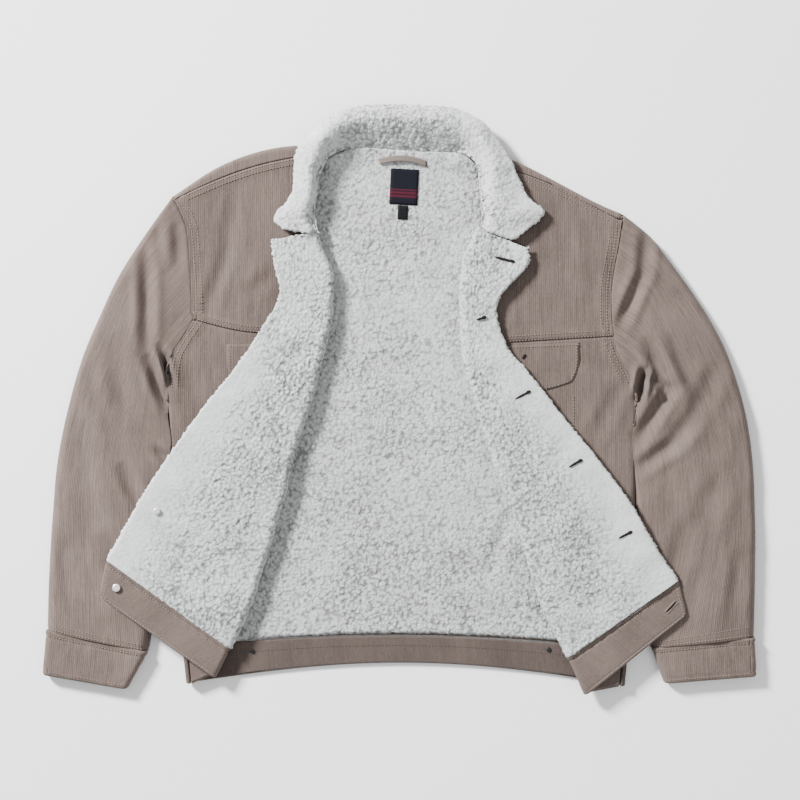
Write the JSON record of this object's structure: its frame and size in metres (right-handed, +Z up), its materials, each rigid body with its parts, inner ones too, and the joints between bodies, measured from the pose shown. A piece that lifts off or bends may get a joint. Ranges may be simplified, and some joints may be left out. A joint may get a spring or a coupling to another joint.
{
  "type": "sherpa lined jacket",
  "caption": "Corduroy trucker jacket with a sherpa lining and collar, laid flat on its back with both fronts turned outwards.",
  "frame": {"origin": "centre of the underside, on the surface that the jacket lies on", "axes": "+X towards the wearer's left sleeve, +Y towards the collar, +Z up from the surface"},
  "size_m": [0.874, 0.7218, 0.0333],
  "materials": {
    "corduroy": "fine-wale brushed corduroy, matt with a soft nap",
    "sherpa": "curly off-white pile",
    "button_metal": "satin",
    "dark_metal": "dark, satin",
    "tape": "woven tape",
    "woven_label": "satin-woven, dark navy"
  },
  "bodies": {
    "root": {"back_yoke": "corduroy", "back_panel": "corduroy", "back_hem_band": "corduroy", "back_lining": "sherpa", "front_yoke_right": "corduroy", "front_panel_right": "corduroy", "front_hem_band_right": "corduroy", "pocket_flap_right": "corduroy", "sleeve_top_right": "corduroy", "sleeve_under_right": "corduroy", "cuff_right": "corduroy", "front_lining_right": "sherpa", "tab_tack_right": "dark_metal", "front_yoke_left": "corduroy", "front_panel_left": "corduroy", "front_hem_band_left": "corduroy", "pocket_flap_left": "corduroy", "sleeve_top_left": "corduroy", "sleeve_under_left": "corduroy", "cuff_left": "corduroy", "front_lining_left": "sherpa", "tab_tack_left": "dark_metal", "collar_under": "corduroy", "collar_facing": "sherpa", "hanger_loop": "tape", "neck_label": "woven_label", "size_tab": "woven_label", "button_1": "button_metal", "button_2": "button_metal", "button_3": "button_metal", "button_4": "button_metal", "button_5": "button_metal", "button_6": "button_metal", "tack_back_5": "button_metal", "tack_back_6": "button_metal"}
  },
  "joints": []
}
